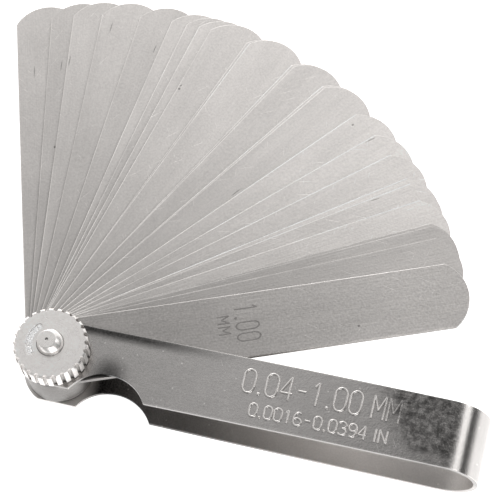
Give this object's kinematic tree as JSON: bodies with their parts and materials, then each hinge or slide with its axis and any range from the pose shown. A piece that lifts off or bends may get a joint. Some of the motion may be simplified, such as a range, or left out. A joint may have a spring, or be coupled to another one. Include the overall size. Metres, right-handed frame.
{
  "type": "feeler gauge",
  "caption": "Fan of hardened steel gauge leaves turning on one pivot screw in a U-bent sheet steel case, locked by a knurled thumb nut.",
  "frame": {"origin": "on the pivot axis, at the underside of the pivot screw's head, which is the plane the tool rests on", "axes": "+Z along the pivot axis through the leaves to the thumb nut, +X along the case from the pivot to its bend, leaves fanned counter-clockwise towards +Y"},
  "size_m": [0.1097, 0.0847, 0.0192],
  "materials": {
    "case_plate": "nickel-plated sheet steel, polished with fine handling scratches",
    "screw_plate": "nickel-plated steel, bright",
    "nut_plate": "nickel-plated steel, satin face and bright knurling",
    "leaf_steel": "bare spring steel, ground satin with fine scratches and pits"
  },
  "bodies": {
    "case": {"case": "case_plate", "pivot_screw": "screw_plate"},
    "thumb_nut": {"thumb_nut": "nut_plate"},
    "leaf_1_00": {"leaf_1_00": "leaf_steel"},
    "leaf_0_04": {"leaf_0_04": "leaf_steel"},
    "leaf_0_05": {"leaf_0_05": "leaf_steel"},
    "leaf_0_06": {"leaf_0_06": "leaf_steel"},
    "leaf_0_08": {"leaf_0_08": "leaf_steel"},
    "leaf_0_10": {"leaf_0_10": "leaf_steel"},
    "leaf_0_13": {"leaf_0_13": "leaf_steel"},
    "leaf_0_15": {"leaf_0_15": "leaf_steel"},
    "leaf_0_18": {"leaf_0_18": "leaf_steel"},
    "leaf_0_20": {"leaf_0_20": "leaf_steel"},
    "leaf_0_23": {"leaf_0_23": "leaf_steel"},
    "leaf_0_25": {"leaf_0_25": "leaf_steel"},
    "leaf_0_28": {"leaf_0_28": "leaf_steel"},
    "leaf_0_30": {"leaf_0_30": "leaf_steel"},
    "leaf_0_33": {"leaf_0_33": "leaf_steel"},
    "leaf_0_38": {"leaf_0_38": "leaf_steel"},
    "leaf_0_40": {"leaf_0_40": "leaf_steel"},
    "leaf_0_45": {"leaf_0_45": "leaf_steel"},
    "leaf_0_50": {"leaf_0_50": "leaf_steel"},
    "leaf_0_55": {"leaf_0_55": "leaf_steel"},
    "leaf_0_60": {"leaf_0_60": "leaf_steel"},
    "leaf_0_65": {"leaf_0_65": "leaf_steel"},
    "leaf_0_70": {"leaf_0_70": "leaf_steel"},
    "leaf_0_80": {"leaf_0_80": "leaf_steel"},
    "leaf_0_90": {"leaf_0_90": "leaf_steel"}
  },
  "joints": [
    {"name": "nut_turn", "type": "hinge", "parent": "case", "child": "thumb_nut", "pos_m": [0, 0, 0.01295], "axis": [0, 0, 1], "range_deg": [-30, 270]},
    {"name": "leaf_1_00_swing", "type": "hinge", "parent": "case", "child": "leaf_1_00", "pos_m": [0, 0, 0.00735], "axis": [0, 0, 1], "range_deg": [-21.5, 158.5]},
    {"name": "leaf_0_04_swing", "type": "hinge", "parent": "case", "child": "leaf_0_04", "pos_m": [0, 0, 0.00735], "axis": [0, 0, 1], "range_deg": [-26, 154]},
    {"name": "leaf_0_05_swing", "type": "hinge", "parent": "case", "child": "leaf_0_05", "pos_m": [0, 0, 0.00735], "axis": [0, 0, 1], "range_deg": [-28, 152]},
    {"name": "leaf_0_06_swing", "type": "hinge", "parent": "case", "child": "leaf_0_06", "pos_m": [0, 0, 0.00735], "axis": [0, 0, 1], "range_deg": [-28.5, 151.5]},
    {"name": "leaf_0_08_swing", "type": "hinge", "parent": "case", "child": "leaf_0_08", "pos_m": [0, 0, 0.00735], "axis": [0, 0, 1], "range_deg": [-32.5, 147.5]},
    {"name": "leaf_0_10_swing", "type": "hinge", "parent": "case", "child": "leaf_0_10", "pos_m": [0, 0, 0.00735], "axis": [0, 0, 1], "range_deg": [-35.5, 144.5]},
    {"name": "leaf_0_13_swing", "type": "hinge", "parent": "case", "child": "leaf_0_13", "pos_m": [0, 0, 0.00735], "axis": [0, 0, 1], "range_deg": [-36.5, 143.5]},
    {"name": "leaf_0_15_swing", "type": "hinge", "parent": "case", "child": "leaf_0_15", "pos_m": [0, 0, 0.00735], "axis": [0, 0, 1], "range_deg": [-41, 139]},
    {"name": "leaf_0_18_swing", "type": "hinge", "parent": "case", "child": "leaf_0_18", "pos_m": [0, 0, 0.00735], "axis": [0, 0, 1], "range_deg": [-45, 135]},
    {"name": "leaf_0_20_swing", "type": "hinge", "parent": "case", "child": "leaf_0_20", "pos_m": [0, 0, 0.00735], "axis": [0, 0, 1], "range_deg": [-49.5, 130.5]},
    {"name": "leaf_0_23_swing", "type": "hinge", "parent": "case", "child": "leaf_0_23", "pos_m": [0, 0, 0.00735], "axis": [0, 0, 1], "range_deg": [-56, 124]},
    {"name": "leaf_0_25_swing", "type": "hinge", "parent": "case", "child": "leaf_0_25", "pos_m": [0, 0, 0.00735], "axis": [0, 0, 1], "range_deg": [-56.5, 123.5]},
    {"name": "leaf_0_28_swing", "type": "hinge", "parent": "case", "child": "leaf_0_28", "pos_m": [0, 0, 0.00735], "axis": [0, 0, 1], "range_deg": [-62, 118]},
    {"name": "leaf_0_30_swing", "type": "hinge", "parent": "case", "child": "leaf_0_30", "pos_m": [0, 0, 0.00735], "axis": [0, 0, 1], "range_deg": [-62.5, 117.5]},
    {"name": "leaf_0_33_swing", "type": "hinge", "parent": "case", "child": "leaf_0_33", "pos_m": [0, 0, 0.00735], "axis": [0, 0, 1], "range_deg": [-70, 110]},
    {"name": "leaf_0_38_swing", "type": "hinge", "parent": "case", "child": "leaf_0_38", "pos_m": [0, 0, 0.00735], "axis": [0, 0, 1], "range_deg": [-70.5, 109.5]},
    {"name": "leaf_0_40_swing", "type": "hinge", "parent": "case", "child": "leaf_0_40", "pos_m": [0, 0, 0.00735], "axis": [0, 0, 1], "range_deg": [-76.5, 103.5]},
    {"name": "leaf_0_45_swing", "type": "hinge", "parent": "case", "child": "leaf_0_45", "pos_m": [0, 0, 0.00735], "axis": [0, 0, 1], "range_deg": [-78.5, 101.5]},
    {"name": "leaf_0_50_swing", "type": "hinge", "parent": "case", "child": "leaf_0_50", "pos_m": [0, 0, 0.00735], "axis": [0, 0, 1], "range_deg": [-80.5, 99.5]},
    {"name": "leaf_0_55_swing", "type": "hinge", "parent": "case", "child": "leaf_0_55", "pos_m": [0, 0, 0.00735], "axis": [0, 0, 1], "range_deg": [-83, 97]},
    {"name": "leaf_0_60_swing", "type": "hinge", "parent": "case", "child": "leaf_0_60", "pos_m": [0, 0, 0.00735], "axis": [0, 0, 1], "range_deg": [-88, 92]},
    {"name": "leaf_0_65_swing", "type": "hinge", "parent": "case", "child": "leaf_0_65", "pos_m": [0, 0, 0.00735], "axis": [0, 0, 1], "range_deg": [-94, 86]},
    {"name": "leaf_0_70_swing", "type": "hinge", "parent": "case", "child": "leaf_0_70", "pos_m": [0, 0, 0.00735], "axis": [0, 0, 1], "range_deg": [-98.5, 81.5]},
    {"name": "leaf_0_80_swing", "type": "hinge", "parent": "case", "child": "leaf_0_80", "pos_m": [0, 0, 0.00735], "axis": [0, 0, 1], "range_deg": [-102, 78]},
    {"name": "leaf_0_90_swing", "type": "hinge", "parent": "case", "child": "leaf_0_90", "pos_m": [0, 0, 0.00735], "axis": [0, 0, 1], "range_deg": [-107.5, 72.5]}
  ]
}
